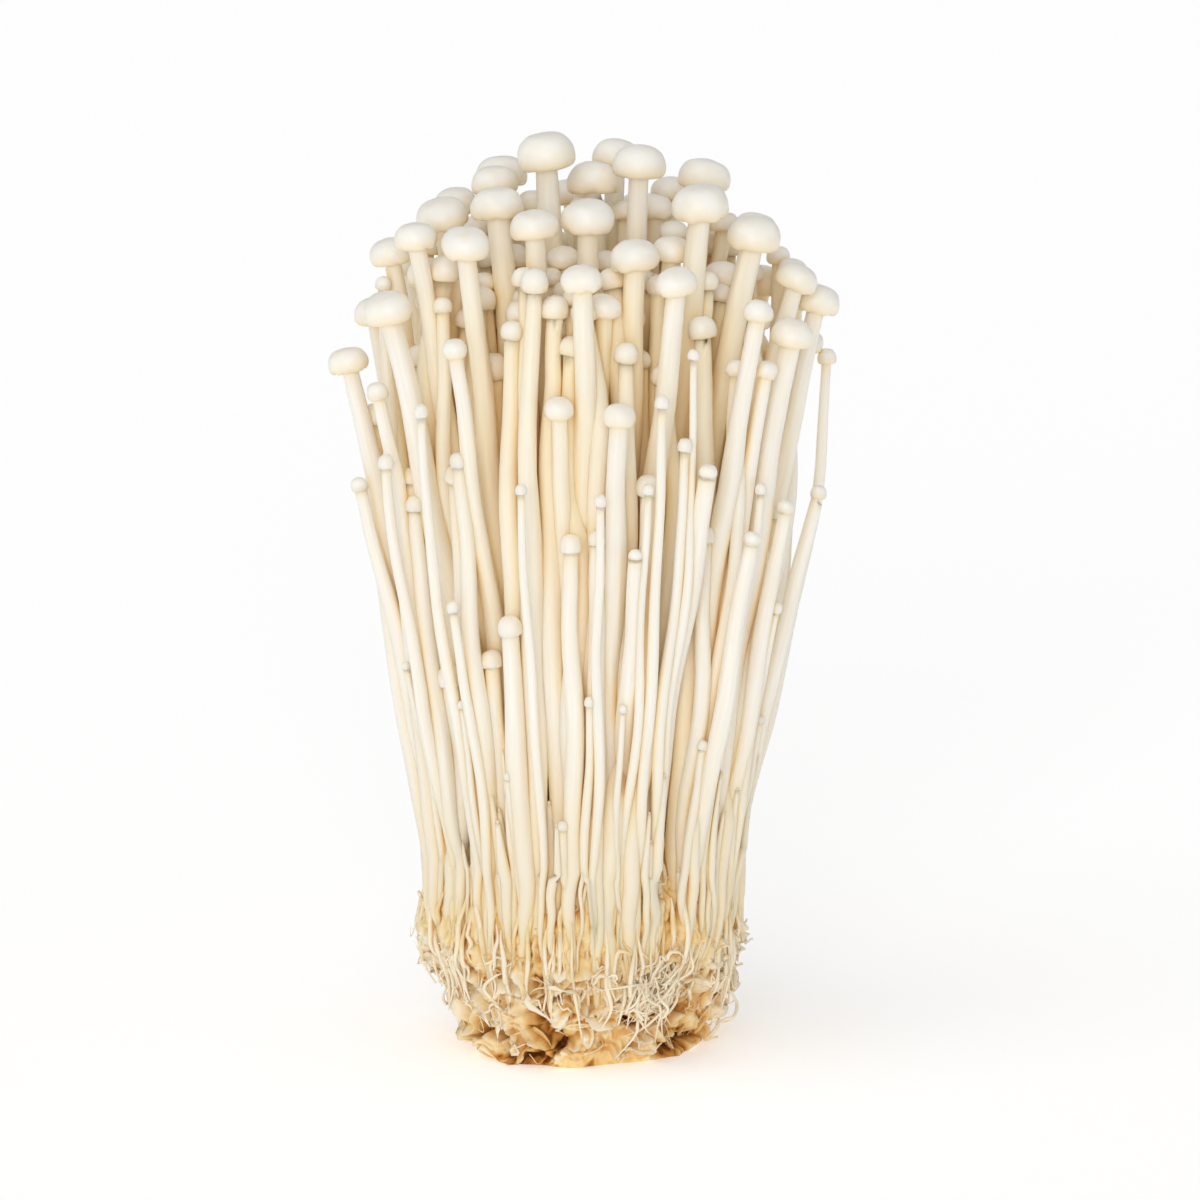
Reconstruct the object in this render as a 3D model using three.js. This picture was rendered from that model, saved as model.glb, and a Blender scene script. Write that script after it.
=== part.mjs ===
// An enoki mushroom bunch, as grown in one tuft on its block of mycelium and set down on the block's cut face.
// Millimetres, +Z up, the front towards -Y. The origin is the centre of the flat face that it stands on.
import * as THREE from "three";

// ---- driving dimensions ----
const BLOCK_HEIGHT = 24; // the mycelium block, from the cut face to where the stems leave it
const CUT_RADIUS = 17.5; // the flat cut face
const BLOCK_RADIUS = 25; // the block at its widest, just under the stems
const BLOCK_SIDES = 32;
const FOOT_REACH = 22.5; // no stem stands further out on the block than this
const FOOT_GAP = 0.35; // between the block's top and a stem's foot
const STEM_GAP = 0.4; // least room between two neighbours
const SWAY = 1.3; // how far a stem bows off its even line, each in its own direction
const SPREAD_HEIGHT = 125; // where the tuft has its full spread
const SPREAD_AT_FOOT = 0.64; // its width at the block, as a share of that
const SPREAD_POWER = 1.9; // the tuft stays slim low down and flares near the caps
const MUSHROOM_SIDES = 8;
const STEM_STATIONS = 7; // rings along a stem
const LEVEL = 3; // heights at which neighbours are held apart
const ROUNDS = 700; // passes of the settling
const GOLDEN_ANGLE = Math.PI * (3 - Math.sqrt(5)); // turns one mushroom's sway from the next one's

// ---- the mushrooms ----
// [x, y] of the cap's middle, height of its top, cap diameter, stem diameter under the cap, and how far the foot
// is drawn in to the axis: 1 follows the tuft's own taper, less leans more. The front is listed left to right.
const MUSHROOMS = {
  tall: [
    [-38, -8, 115, 6.4, 2.7, 1.0],
    [-31.5, -18, 125.5, 8.0, 3.4, 0.74],
    [-27, -15, 136, 6.9, 2.9, 0.9],
    [-26.5, -9, 129.5, 6.4, 2.7, 1.0],
    [-19, -20, 136, 7.7, 3.1, 0.84],
    [-8, -18, 138.5, 7.8, 3.3, 1.0],
    [-0.5, -27, 131, 6.5, 3.3, 1.0],
    [0.5, -13.5, 139.5, 8.6, 3.4, 1.0],
    [3.5, -20.5, 125.5, 5.6, 2.7, 1.0],
    [8, -19.5, 134, 7.8, 3.4, 1.0],
    [14.5, -27, 130.5, 6.6, 3.1, 0.62],
    [18.5, -14.5, 142, 9.2, 3.6, 0.8],
    [26, -12, 136.5, 8.8, 3.7, 0.8],
    [27.5, -24, 125, 4.8, 2.8, 0.9],
    [33, -17, 121, 6.9, 3.3, 1.0],
    [30, -10, 128.5, 6.9, 2.9, 1.0],
    [37.5, -4, 124.5, 7.2, 2.8, 0.95],
    // the crown
    [-31, -4.5, 132, 7.0, 2.8, 1.0],
    [-23, -5, 138.5, 8.2, 3.1, 1.0],
    [-14, -11, 141, 8.5, 3.7, 0.95],
    [-14, -1, 143, 7.5, 3.0, 1.0],
    [-13.5, 8, 143.5, 8.3, 3.2, 1.0],
    [-6, -4, 149, 9.3, 3.7, 1.0],
    [2, -2.5, 143.5, 8.5, 3.3, 1.0],
    [8.5, -4.5, 147, 8.5, 3.3, 1.0],
    [5, 9, 146, 7.8, 3.2, 1.0],
    [19.5, 8, 143, 8.3, 3.2, 1.0],
    [14.5, -10.5, 133, 6.2, 2.8, 1.0],
    [12, 6.5, 137.5, 6.6, 2.9, 1.0],
    [27.5, 3, 135, 7.4, 3.0, 1.0],
    [-20, 10, 138, 7.0, 2.9, 1.0],
    [22, -3, 128, 5.6, 2.8, 1.0],
    // the back
    [-34, 5, 121, 6.8, 2.9, 1.0],
    [-28.5, 14, 128, 7.4, 3.1, 0.9],
    [-22, 22.5, 122, 7.8, 3.2, 0.85],
    [-12, 18, 135, 8.2, 3.3, 1.0],
    [-9, 28.5, 119, 6.6, 2.9, 0.9],
    [-2, 20, 138, 7.6, 3.1, 1.0],
    [4, 29, 124, 7.0, 3.0, 1.0],
    [9, 18.5, 136, 8.4, 3.4, 1.0],
    [16, 26, 121, 7.2, 3.0, 0.9],
    [20, 17, 132, 7.8, 3.2, 1.0],
    [29, 13, 125, 7.4, 3.1, 0.9],
    [35.5, 6, 116, 6.0, 2.8, 1.0],
    [27, 21, 112, 5.4, 2.6, 1.0],
  ],
  // Younger ones, whose small round caps end part of the way up.
  short: [
    [-36, -10, 94.5, 2.8, 1.9, 1.0],
    [-33, -14.5, 110.5, 3.5, 2.1, 1.0],
    [-20.5, -24.5, 119, 3.9, 2.3, 0.8],
    [-2.5, -25, 110, 4.7, 2.4, 1.0],
    [5.5, -29.5, 109.5, 5.2, 2.9, 0.9],
    [8, -29.5, 86.5, 2.3, 2.2, 0.7],
    [19.5, -29.5, 100, 3.0, 2.7, 0.62],
    [26.5, -25, 88.5, 2.8, 2.1, 0.85],
    [28.5, -21, 115, 3.5, 2.1, 1.0],
    [32, -16, 92, 2.8, 2.0, 1.0],
    [37.5, -6, 92.5, 2.7, 1.9, 1.0],
    [-28, 20, 98, 3.4, 2.2, 1.0],
    [6, 31, 96, 3.6, 2.3, 1.0],
    [33, 15, 94, 3.2, 2.2, 1.0],
  ],
};

// ---- a mushroom's own proportions ----
// A stem's radius along it, from foot to cap, as shares of its radius under the cap.
const STEM_SWELL = [0.62, 0.88, 1.05, 1.16, 1.14, 1.04, 0.96];
// A cap's outline from its underside to its top: shares of its radius and of its height.
const CAP_OUTLINE = [
  [0.72, 0.1],
  [0.94, 0.06],
  [1.0, 0.34],
  [0.82, 0.74],
  [0.42, 0.96],
];
const BUTTON = 3; // mm across: a cap this small is nearly a ball
const OPENED = 6; // mm across: from this size a cap has its full, flatter shape
const BALL_HEIGHT = 0.86; // cap height over its diameter, for those two
const CAP_HEIGHT = 0.64;
const NECK_SHARE = 0.6; // where a stem enters its cap, it is no wider than this share of the cap

const capHeightOf = (diameter) =>
  diameter *
  THREE.MathUtils.lerp(
    BALL_HEIGHT,
    CAP_HEIGHT,
    THREE.MathUtils.smoothstep(diameter, BUTTON, OPENED),
  );

// The tuft's width at a height, as a share of its full spread.
function spreadAt(z) {
  const climb = (z - BLOCK_HEIGHT) / (SPREAD_HEIGHT - BLOCK_HEIGHT);
  return SPREAD_AT_FOOT + (1 - SPREAD_AT_FOOT) * Math.max(climb, 0) ** SPREAD_POWER;
}

// A mushroom as its row asks for it: one point of its middle line at each level. `turn` sets which way it sways.
function sprout(name, [x, y, top, capDiameter, stemDiameter, drawnIn], turn) {
  const foot = BLOCK_HEIGHT + FOOT_GAP;
  const levels = Math.round((top - foot) / LEVEL);
  const capHeight = capHeightOf(capDiameter);
  const evenFoot = Math.hypot(x, y) * (spreadAt(foot) / spreadAt(top)) * drawnIn;
  const footShare = drawnIn * Math.min(1, FOOT_REACH / evenFoot);
  const line = [];
  for (let j = 0; j <= levels; j++) {
    const share = j / levels;
    const z = foot + share * (top - foot);
    const taper = spreadAt(z) / spreadAt(top);
    const lean = THREE.MathUtils.lerp(footShare, 1, THREE.MathUtils.smoothstep(share, 0.05, 0.95));
    const sway = SWAY * Math.sin(2 * Math.PI * share + 3 * turn) * Math.sin(Math.PI * share);
    line.push(
      new THREE.Vector3(
        x * taper * lean + sway * Math.cos(turn),
        y * taper * lean + sway * Math.sin(turn),
        z,
      ),
    );
  }
  return {
    name,
    foot,
    top,
    capHeight,
    capRadius: capDiameter / 2,
    stemRadius: stemDiameter / 2,
    wanted: line.map((p) => p.clone()),
    line,
  };
}

// A stem's radius at a share of its length.
function stemRadiusAt(mushroom, share) {
  const place = THREE.MathUtils.clamp(share, 0, 1) * (STEM_SWELL.length - 1);
  const below = Math.min(Math.floor(place), STEM_SWELL.length - 2);
  const swell = THREE.MathUtils.lerp(STEM_SWELL[below], STEM_SWELL[below + 1], place - below);
  return mushroom.stemRadius * swell;
}

// The room that a mushroom takes up at a height: its stem's radius, or its cap's with some play for its tilt.
function roomAt(mushroom, z) {
  const tiltPlay = 0.25 * mushroom.capRadius;
  const capFoot = mushroom.top - mushroom.capHeight - tiltPlay;
  if (z > capFoot) return mushroom.capRadius * 1.03;
  return stemRadiusAt(mushroom, (z - mushroom.foot) / (capFoot - mushroom.foot)) * 1.04;
}

// ---- settling ----
// Neighbours push each other aside wherever they would touch, as stems do that grow in one tuft. Each middle line
// stays smooth, and is drawn back gently to where its row put it.
function settle(mushrooms) {
  const deepest = Math.max(...mushrooms.map((m) => m.line.length));
  for (let round = 0; round < ROUNDS; round++) {
    const springs = round < ROUNDS * 0.7;
    for (let j = 0; j < deepest; j++) {
      const here = mushrooms.filter((m) => j < m.line.length);
      for (let a = 0; a < here.length; a++) {
        for (let b = a + 1; b < here.length; b++) {
          const p = here[a].line[j];
          const q = here[b].line[j];
          const dx = q.x - p.x;
          const dy = q.y - p.y;
          const apart = Math.hypot(dx, dy) || 1e-6;
          const need = roomAt(here[a], p.z) + roomAt(here[b], q.z) + STEM_GAP;
          if (apart >= need) continue;
          const push = (0.5 * (need - apart)) / apart;
          p.x -= dx * push;
          p.y -= dy * push;
          q.x += dx * push;
          q.y += dy * push;
        }
      }
    }
    for (const m of mushrooms) {
      smooth(m.line, 0.3);
      if (springs) m.line.forEach((p, j) => p.lerp(m.wanted[j], 0.015));
    }
  }
}

// Moves each inner point towards the middle of its two neighbours.
function smooth(line, share) {
  for (let j = 1; j < line.length - 1; j++) {
    line[j].x += share * ((line[j - 1].x + line[j + 1].x) / 2 - line[j].x);
    line[j].y += share * ((line[j - 1].y + line[j + 1].y) / 2 - line[j].y);
  }
}

// ---- geometry ----
// One closed outline of a whole mushroom, foot to top, as [radius, height along the middle line].
function outlineOf(mushroom, length) {
  const capFoot = length - mushroom.capHeight;
  const neck = capFoot + mushroom.capHeight * 0.22; // the stem goes on up into the cap's hollow
  const outline = [new THREE.Vector2(0, 0)];
  for (let k = 0; k < STEM_STATIONS - 1; k++) {
    const share = k / (STEM_STATIONS - 1);
    outline.push(new THREE.Vector2(stemRadiusAt(mushroom, share), share * neck));
  }
  const neckRadius = Math.min(stemRadiusAt(mushroom, 1), NECK_SHARE * mushroom.capRadius);
  outline.push(new THREE.Vector2(neckRadius, neck));
  for (const [radius, height] of CAP_OUTLINE) {
    outline.push(
      new THREE.Vector2(radius * mushroom.capRadius, capFoot + height * mushroom.capHeight),
    );
  }
  outline.push(new THREE.Vector2(0, length));
  return outline;
}

// Bends a solid of revolution about Y so that its axis follows a curve.
function bendAlong(geometry, curve, length) {
  const position = geometry.getAttribute("position");
  const east = new THREE.Vector3(1, 0, 0);
  for (let i = 0; i < position.count; i++) {
    const share = THREE.MathUtils.clamp(position.getY(i) / length, 0, 1);
    const along = curve.getTangentAt(share);
    const side = east.clone().addScaledVector(along, -east.dot(along)).normalize();
    const across = new THREE.Vector3().crossVectors(along, side);
    const point = curve
      .getPointAt(share)
      .addScaledVector(side, position.getX(i))
      .addScaledVector(across, -position.getZ(i));
    position.setXYZ(i, point.x, point.y, point.z);
  }
  geometry.computeVertexNormals();
  return geometry;
}

function mushroomMesh(mushroom, material) {
  const curve = new THREE.CatmullRomCurve3(mushroom.line, false, "centripetal");
  const length = curve.getLength();
  const straight = new THREE.LatheGeometry(outlineOf(mushroom, length), MUSHROOM_SIDES);
  const mesh = new THREE.Mesh(bendAlong(straight, curve, length), material);
  mesh.name = mushroom.name;
  return mesh;
}

// The block's side: how far a place on it stands proud of the plain round, for its lumps and hollows.
function lumpAt(angle, z) {
  const broad = 0.7 * Math.sin(2 * angle + 0.6) + 0.8 * Math.sin(3 * angle - 0.16 * z + 2);
  const small = 0.6 * Math.sin(7 * angle + 0.3 * z) + 0.4 * Math.sin(11 * angle - 0.5 * z + 1);
  return broad + small;
}

function blockMesh(material) {
  const outline = [new THREE.Vector2(0, 0), new THREE.Vector2(CUT_RADIUS, 0)];
  const rings = 7;
  for (let k = 1; k <= rings; k++) {
    const share = k / rings;
    const bulge = Math.sin((share * Math.PI) / 2);
    outline.push(
      new THREE.Vector2(
        THREE.MathUtils.lerp(CUT_RADIUS, BLOCK_RADIUS, bulge),
        share * BLOCK_HEIGHT,
      ),
    );
  }
  outline.push(new THREE.Vector2(0, BLOCK_HEIGHT));
  const geometry = new THREE.LatheGeometry(outline, BLOCK_SIDES);
  geometry.rotateX(Math.PI / 2);
  const position = geometry.getAttribute("position");
  for (let i = 0; i < position.count; i++) {
    const [x, y, z] = [position.getX(i), position.getY(i), position.getZ(i)];
    const radius = Math.hypot(x, y);
    if (radius < 1) continue;
    const grown = 1 + lumpAt(Math.atan2(y, x), z) / radius;
    position.setXYZ(i, x * grown, y * grown, z);
  }
  geometry.computeVertexNormals();
  const mesh = new THREE.Mesh(geometry, material);
  mesh.name = "mycelium_block";
  return mesh;
}

// ---- assembly ----
const flesh = new THREE.MeshStandardMaterial({ color: "#f3ecdf", roughness: 0.4, metalness: 0 });
const mycelium = new THREE.MeshStandardMaterial({ color: "#dcc59a", roughness: 0.85, metalness: 0 });

const mushrooms = Object.entries(MUSHROOMS).flatMap(([kind, rows]) =>
  rows.map((row, i) =>
    sprout(`${kind}_mushroom_${String(i + 1).padStart(2, "0")}`, row, GOLDEN_ANGLE * i),
  ),
);
settle(mushrooms);

const bunch = new THREE.Group();
bunch.name = "enoki_bunch";
bunch.add(blockMesh(mycelium), ...mushrooms.map((m) => mushroomMesh(m, flesh)));

export default bunch;
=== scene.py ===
# %% [markdown]
# # An enoki mushroom bunch
#
# Enoki are grown in the dark in the mouth of a bottle. A hundred and more thin mushrooms rise from one
# block of mycelium, a felt of white threads, and what is sold is the whole tuft, cut from the bottle with
# the block still on it. Most of the stems carry a small closed cap. Others never caught up and end part of
# the way as a pinhead.
#
# The CAD model holds 59 of the mushrooms and the block at their real sizes. This lesson grows the fine
# surface around that frame: first the mushrooms, then the crowd of thin stems between them, then the torn,
# thready block.

# %% Load the frame
import math

import bpy
import numpy as np
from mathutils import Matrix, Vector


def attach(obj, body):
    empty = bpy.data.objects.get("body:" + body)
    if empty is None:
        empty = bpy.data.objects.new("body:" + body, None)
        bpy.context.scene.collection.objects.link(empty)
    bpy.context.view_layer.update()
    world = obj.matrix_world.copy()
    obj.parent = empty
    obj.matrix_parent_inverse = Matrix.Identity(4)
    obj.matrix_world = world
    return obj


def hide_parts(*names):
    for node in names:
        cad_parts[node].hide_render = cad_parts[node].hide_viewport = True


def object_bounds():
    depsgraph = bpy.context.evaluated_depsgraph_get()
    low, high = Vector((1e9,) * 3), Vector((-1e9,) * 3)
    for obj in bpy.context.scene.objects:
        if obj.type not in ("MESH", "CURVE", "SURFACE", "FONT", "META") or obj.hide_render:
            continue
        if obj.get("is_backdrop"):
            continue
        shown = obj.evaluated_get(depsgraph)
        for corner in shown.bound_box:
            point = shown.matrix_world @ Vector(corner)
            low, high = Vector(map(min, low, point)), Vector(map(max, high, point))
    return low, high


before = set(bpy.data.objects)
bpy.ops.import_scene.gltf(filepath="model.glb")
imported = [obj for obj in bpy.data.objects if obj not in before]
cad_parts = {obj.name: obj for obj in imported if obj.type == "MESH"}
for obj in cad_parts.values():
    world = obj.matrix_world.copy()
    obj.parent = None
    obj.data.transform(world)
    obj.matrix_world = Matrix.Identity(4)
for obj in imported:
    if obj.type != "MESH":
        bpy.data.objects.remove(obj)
cad_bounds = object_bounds()
MM = 0.001
print("CAD box, mm:", [[round(c / MM, 1) for c in corner] for corner in cad_bounds])

# %% [markdown]
# ## A few small helpers
#
# Every tree below, for a shape or for a finish, is built from nodes. One helper adds a node, sets its
# settings and wires its inputs. Giving it a node as an input means that node's first output, which keeps
# long chains short. Colours are written the way a paint program shows them, in sRGB, and Blender computes
# in linear light, so a second helper converts them. The rest do the sums, open and close a geometry tree,
# and run it. Two shapes below are a flat grid bent round an axis, so laying out the grid and welding its
# border have their own helpers.

# %% Helpers for node trees and colours
NAMED, STORE = "GeometryNodeInputNamedAttribute", "GeometryNodeStoreNamedAttribute"
COMBINE, SEPARATE = "ShaderNodeCombineXYZ", "ShaderNodeSeparateXYZ"
WELD = 0.004 * MM  # points of a grid's border this close become one


def add(tree, kind, wires=None, **settings):
    """Adds a node. Wires map an input's name or number to a value, a socket, or a node's first output."""
    node = tree.nodes.new(kind)
    for name, value in settings.items():
        setattr(node, name, value)
    for key, value in (wires or {}).items():
        if isinstance(value, bpy.types.Node):
            value = next(socket for socket in value.outputs if socket.enabled)
        if isinstance(value, bpy.types.NodeSocket):
            tree.links.new(value, node.inputs[key])
        else:
            node.inputs[key].default_value = value
    return node


def linear(hex_colour):
    """An sRGB hex colour as the linear colour, with alpha, that Blender's sockets take."""
    shares = [int(hex_colour[i:i + 2], 16) / 255 for i in (1, 3, 5)]
    return [s / 12.92 if s <= 0.04045 else ((s + 0.055) / 1.055) ** 2.4 for s in shares] + [1.0]


def calculators(tree):
    """Three short ways to add a node to this tree: math, vector math, and a value mapped to a range."""

    def do(operation, *values):
        return add(tree, "ShaderNodeMath", dict(enumerate(values)), operation=operation)

    def vec(operation, *values, **scale):
        return add(tree, "ShaderNodeVectorMath", {**dict(enumerate(values)), **scale}, operation=operation)

    def between(value, low, high, start=0.0, end=1.0, kind="SMOOTHSTEP"):
        wires = {"Value": value, "From Min": low, "From Max": high, "To Min": start, "To Max": end}
        return add(tree, "ShaderNodeMapRange", wires, interpolation_type=kind)

    return do, vec, between


def curve_through(tree, value, points):
    """A float curve node through these points."""
    node = add(tree, "ShaderNodeFloatCurve", {"Value": value})
    curve = node.mapping.curves[0]
    for place, height in points[1:-1]:
        curve.points.new(place, height)
    curve.points[0].location = points[0]
    curve.points[-1].location = points[-1]
    node.mapping.update()
    return node


def open_tree(name, inputs):
    """A new geometry tree, and its inputs: a geometry, then these, as (name, socket type, value)."""
    tree = bpy.data.node_groups.new(name, "GeometryNodeTree")
    tree.interface.new_socket("Geometry", in_out="INPUT", socket_type="NodeSocketGeometry")
    for label, kind, value in inputs:
        socket = tree.interface.new_socket(label, in_out="INPUT", socket_type="NodeSocket" + kind)
        if value is not None:
            socket.default_value = value
    tree.interface.new_socket("Geometry", in_out="OUTPUT", socket_type="NodeSocketGeometry")
    return tree, add(tree, "NodeGroupInput").outputs


def flat_grid(tree, around, upward):
    """A grid to bend round an axis: its mesh, each point's turn and row, and 0 on the end rows, else 1."""
    do, _, _ = calculators(tree)
    grid = add(tree, "GeometryNodeMeshGrid", {"Vertices X": do("ADD", around, 1.0),
                                              "Vertices Y": do("ADD", upward, 1.0)})
    flat = add(tree, SEPARATE, {0: add(tree, "GeometryNodeInputPosition")}).outputs
    turn = do("MULTIPLY_ADD", flat["X"], math.tau, math.pi)
    row = do("MULTIPLY", do("ADD", flat["Y"], 0.5), upward)
    open_row = do("GREATER_THAN", do("MINIMUM", row, do("SUBTRACT", upward, row)), 0.5)
    furthest = do("MAXIMUM", do("ABSOLUTE", flat["X"]), do("ABSOLUTE", flat["Y"]))
    rim = do("GREATER_THAN", furthest, 0.4999)
    mesh = add(tree, STORE, {"Geometry": grid.outputs["Mesh"], "Name": "rim", "Value": rim})
    return mesh, turn, row, open_row


def bend(tree, mesh, place):
    """Moves a flat grid's points to their places, and welds its border: the side seam and both poles."""
    do, _, _ = calculators(tree)
    mesh = add(tree, "GeometryNodeSetPosition", {"Geometry": mesh, "Position": place})
    rim = do("GREATER_THAN", add(tree, NAMED, {"Name": "rim"}), 0.5)
    return add(tree, "GeometryNodeMergeByDistance", {"Geometry": mesh, "Selection": rim, "Distance": WELD})


def close_tree(tree, mesh, material, where=True):
    """Ends a tree: smooth shading, no instances left, a material where it is wanted, and the output."""
    painting = {"Material": material, "Selection": where}
    for kind, wires in (("SetShadeSmooth", {}), ("RealizeInstances", {}), ("SetMaterial", painting)):
        mesh = add(tree, "GeometryNode" + kind, {"Geometry": mesh, **wires})
    add(tree, "NodeGroupOutput", {"Geometry": mesh})
    return tree


def grow(name, tree, values, source=None):
    """Runs a geometry tree on a mesh and returns what it made as a plain mesh object at the origin."""
    seed = bpy.data.objects.new(name + "_source", source or bpy.data.meshes.new(name + "_source"))
    bpy.context.scene.collection.objects.link(seed)
    modifier = seed.modifiers.new("grow", "NODES")
    modifier.node_group = tree
    for socket in tree.interface.items_tree:
        if socket.in_out == "INPUT" and socket.name in values:
            modifier[socket.identifier] = values[socket.name]
    bpy.context.view_layer.update()
    grown = seed.evaluated_get(bpy.context.evaluated_depsgraph_get())
    piece = bpy.data.objects.new(name, bpy.data.meshes.new_from_object(grown))
    piece.data.name = name
    while None in piece.data.materials[:]:
        piece.data.materials.pop(index=piece.data.materials[:].index(None))
    bpy.context.scene.collection.objects.link(piece)
    bpy.data.objects.remove(seed)
    return piece


# %% [markdown]
# ## Where the camera stands and what lights the bunch
#
# The bunch is seen from a little above, with a long lens from over a metre away, so that its stems stay
# almost parallel. It stands on a plain pale floor that runs back past the view. The light is a broad soft
# lamp high on the left, a weaker low one in front, and a pale sky all round, which together leave only a
# faint soft shadow.

# %% Camera, floor and lights
VIEW_WIDTH = 192 * MM  # how much the frame takes in at the bunch
DISTANCE = 1.3
ELEVATION = math.radians(11)
AIM = (2.4 * MM, 0.0, 72.7 * MM)
SENSOR = 36.0

scene = bpy.context.scene
camera = bpy.data.objects.new("camera", bpy.data.cameras.new("camera"))
scene.collection.objects.link(camera)
camera.data.sensor_width = SENSOR
camera.data.lens = SENSOR * DISTANCE / VIEW_WIDTH
camera.location = (AIM[0], AIM[1] - DISTANCE * math.cos(ELEVATION), AIM[2] + DISTANCE * math.sin(ELEVATION))
camera.rotation_euler = (math.pi / 2 - ELEVATION, 0, 0)
scene.camera = camera
scene.view_settings.view_transform = "Standard"
scene.cycles.diffuse_bounces = 10  # light runs on between pale stems, and warms the gaps


def far_lamp(name, azimuth, elevation, spread, strength):
    """A lamp as far off as the sun, to light evenly. Azimuth is 0 in front and grows to the right."""
    lamp = bpy.data.objects.new(name, bpy.data.lights.new(name, "SUN"))
    lamp.data.angle = math.radians(spread)
    lamp.data.energy = strength
    lamp.rotation_euler = (math.radians(90 - elevation), 0, math.radians(azimuth))
    scene.collection.objects.link(lamp)


far_lamp("key", azimuth=-40, elevation=60, spread=50, strength=0.5)
far_lamp("front", azimuth=-6, elevation=13, spread=30, strength=0.8)

world = bpy.data.worlds.new("pale sky")
world.use_nodes = True
sky = world.node_tree.nodes["Background"].inputs
sky["Color"].default_value = linear("#ffffff")
sky["Strength"].default_value = 0.5
scene.world = world

FLOOR_REACH = 4.0
corners = [(x * FLOOR_REACH, y * FLOOR_REACH, 0) for x, y in ((-1, -1), (1, -1), (1, 1), (-1, 1))]
floor = bpy.data.objects.new("floor", bpy.data.meshes.new("floor"))
floor.data.from_pydata(corners, [], [(0, 1, 2, 3)])
scene.collection.objects.link(floor)
paper = bpy.data.materials.new("white paper sweep")
paper.use_nodes = True
for label, value in (("Base Color", linear("#f8f8f8")), ("Roughness", 0.9),
                     ("Emission Color", linear("#ffffff")), ("Emission Strength", 0.34)):
    paper.node_tree.nodes["Principled BSDF"].inputs[label].default_value = value
floor.data.materials.append(paper)
floor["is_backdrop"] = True

# %% [markdown]
# ## Measuring the CAD mushrooms
#
# A CAD mushroom is a stack of eight-sided rings: six up the stem, and one last group for the neck and the
# cap. The rings stand far apart in height, so sorting the points by height and cutting wherever a gap shows
# gives them back. The middle of each ring is a point of the stem's middle line, and its reach is the stem's
# radius there.

# %% Measure every mushroom
RING_GAP = 3 * MM  # rings of one stem stand further apart than this
LOWEST_CAP_POINT = 0.06  # the cap's lowest ring, as a share of the cap's height
SQUAT = 0.92  # the fine cap is rounder underneath, and so a little flatter, than the CAD's


def points_of(node):
    """The separate corner points of a CAD node, in metres, lowest first."""
    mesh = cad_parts[node].data
    flat = np.empty(len(mesh.vertices) * 3)
    mesh.vertices.foreach_get("co", flat)
    points = np.unique(flat.reshape(-1, 3).round(7), axis=0)
    return points[np.argsort(points[:, 2])]


def measure(node):
    """A CAD mushroom's middle line from foot to cap top, the stem's radius along it, and its cap's size."""
    points = points_of(node)
    *stem, cap = np.split(points, np.flatnonzero(np.diff(points[:, 2]) > RING_GAP) + 1)
    middles = np.array([ring.mean(axis=0) for ring in stem])
    radii = [np.linalg.norm(ring - middle, axis=1).max() for ring, middle in zip(stem, middles)]
    heart = cap.mean(axis=0)
    axis = (heart - middles[-1]) / np.linalg.norm(heart - middles[-1])
    along = (cap - heart) @ axis
    across = np.linalg.norm(cap - heart - np.outer(along, axis), axis=1)
    height = (along.max() - along.min()) / (1 - LOWEST_CAP_POINT)
    top = along.max() - height * (1 - SQUAT) / 2
    return {
        "line": np.vstack([middles, heart + axis * along.min(), heart + axis * top]),
        "radii": np.array(radii + [radii[-1] * 0.92] * 2),
        "cap_radius": across.max(),
        "cap_height": height * SQUAT,
    }


mushroom_nodes = sorted(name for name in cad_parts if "mushroom" in name)
mushrooms = {name: measure(name) for name in mushroom_nodes}
tallest = max(mushrooms.values(), key=lambda m: m["line"][-1][2])
BLOCK_TOP = points_of("mycelium_block")[-1, 2]
TALLEST = 150 * MM
STEP = 3 * MM
levels = np.arange(BLOCK_TOP - STEP, TALLEST, STEP)


def at_levels(line):
    """x and y of a middle line at every level, held at its ends."""
    return np.stack([np.interp(levels, line[:, 2], line[:, axis]) for axis in (0, 1)], axis=1)


def reach_at_levels(line, radii, cap_radius, cap_height):
    """What a mushroom takes up at each level: its stem, then its cap, and nothing above its top."""
    top = line[-1][2]
    room = np.interp(levels, line[:, 2], radii)
    room = np.where(levels > top - cap_height * 1.3, cap_radius, room)
    return np.where(levels > top + 0.5 * MM, -1.0, room)


fixed_lines = np.array([at_levels(m["line"]) for m in mushrooms.values()])
fixed_reach = np.array([reach_at_levels(**m) for m in mushrooms.values()])
outer = np.where(fixed_reach[..., None] > 0, np.abs(fixed_lines), 0).max(axis=0) + 1.0 * MM
half_width, half_depth = np.maximum.accumulate(outer, axis=0).T
print("the tuft is", (2 * half_width[[0, -1]] / MM).round(1), "mm wide at its foot and its crown")
print(len(mushrooms), "mushrooms, the tallest cap", round(tallest["cap_radius"] * 2 / MM, 1), "mm across")

# %% [markdown]
# ## The finish of the flesh
#
# Enoki flesh is white, faintly cream and a little see-through, so light runs on inside it and comes back
# warmer. That is subsurface scattering, about a millimetre and a half deep, and strongest in red. The cap's
# skin is thin and smooth with a satin gloss. The stem is a bundle of fibres: fine streaks run its whole
# length, drawn here as noise that is stretched along the stem. The trees below store on each mushroom where
# a point is round the stem and how far up it, in an attribute named `grain`, so the streaks follow every
# bend.

# %% Materials of the mushrooms
FLESH_IOR = 1.38  # mostly water
SCATTER_DEPTH = 1.5 * MM
SCATTER_COLOURS = (1.0, 0.93, 0.85)  # how far each colour travels, against red
FIBRE_WIDTH = 0.35  # in mm; a real fibre is finer, but wouldn't show
FIBRE_STRETCH = 0.035  # across to along


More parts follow.
